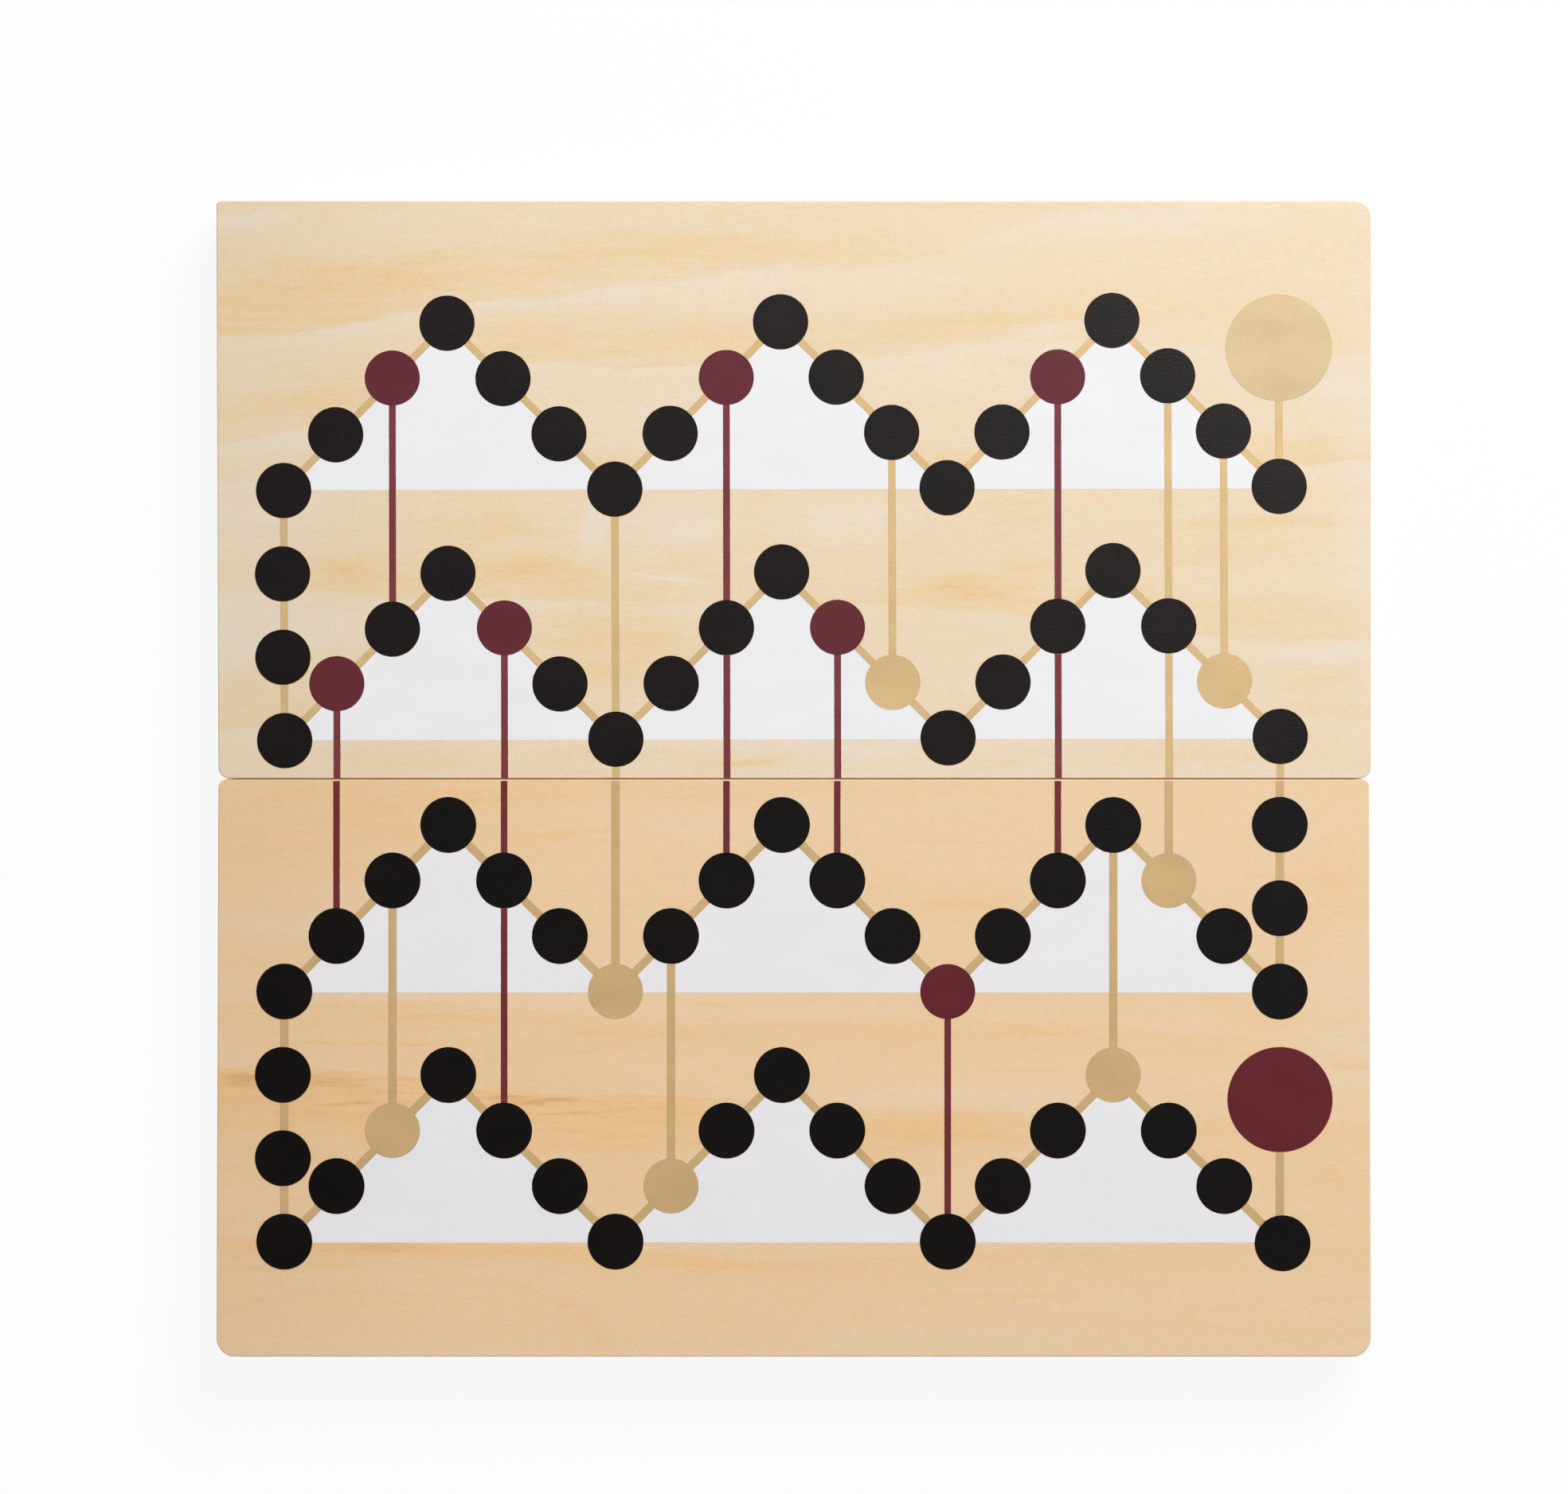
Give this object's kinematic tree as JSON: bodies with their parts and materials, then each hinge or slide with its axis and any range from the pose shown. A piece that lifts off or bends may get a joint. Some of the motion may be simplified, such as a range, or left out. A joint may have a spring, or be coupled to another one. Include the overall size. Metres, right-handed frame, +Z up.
{
  "type": "folding game board",
  "caption": "Wooden games box that opens out flat into a race board: two hinged shallow trays with printed dots, bars and peaks on their backs.",
  "frame": {"origin": "under the middle of the seam, level with the lowest points, which are the hinge barrels, with the board opened out flat and its play faces up", "axes": "+X along the seam to the right, +Y across the seam towards the far half, +Z up out of the play faces"},
  "size_m": [0.29, 0.2904, 0.024],
  "materials": {
    "play_panel": "pale fine-grained plywood, sanded smooth and clear lacquered",
    "frame_rail": "pale softwood, sanded, with light end grain at the joints",
    "white_ink": "opaque screen-printed ink, satin",
    "gold_ink": "screen-printed ink with fine metal flake, satin",
    "burgundy_ink": "opaque screen-printed ink, satin",
    "black_ink": "opaque screen-printed ink, satin",
    "hinge_leaf": "stamped, lightly brushed",
    "hinge_pin": "drawn wire",
    "hinge_screw": "turned, slotted heads",
    "magnet": "nickel plated"
  },
  "bodies": {
    "far_half": {"far_play_panel": "play_panel", "far_outer_rail": "frame_rail", "far_hinge_rail": "frame_rail", "far_left_rail": "frame_rail", "far_right_rail": "frame_rail", "far_white_print": "white_ink", "far_gold_print": "gold_ink", "far_burgundy_print": "burgundy_ink", "far_black_print": "black_ink", "left_hinge_far_leaf": "hinge_leaf", "right_hinge_far_leaf": "hinge_leaf", "left_hinge_pin": "hinge_pin", "right_hinge_pin": "hinge_pin", "far_hinge_screws": "hinge_screw", "far_magnets": "magnet"},
    "near_half": {"near_play_panel": "play_panel", "near_outer_rail": "frame_rail", "near_hinge_rail": "frame_rail", "near_left_rail": "frame_rail", "near_right_rail": "frame_rail", "near_white_print": "white_ink", "near_gold_print": "gold_ink", "near_burgundy_print": "burgundy_ink", "near_black_print": "black_ink", "left_hinge_near_leaf": "hinge_leaf", "right_hinge_near_leaf": "hinge_leaf", "near_hinge_screws": "hinge_screw", "near_magnets": "magnet"}
  },
  "joints": [
    {"name": "fold", "type": "hinge", "parent": "far_half", "child": "near_half", "pos_m": [0, 0, 0.0013], "axis": [1, 0, 0], "range_deg": [0, 180]}
  ]
}
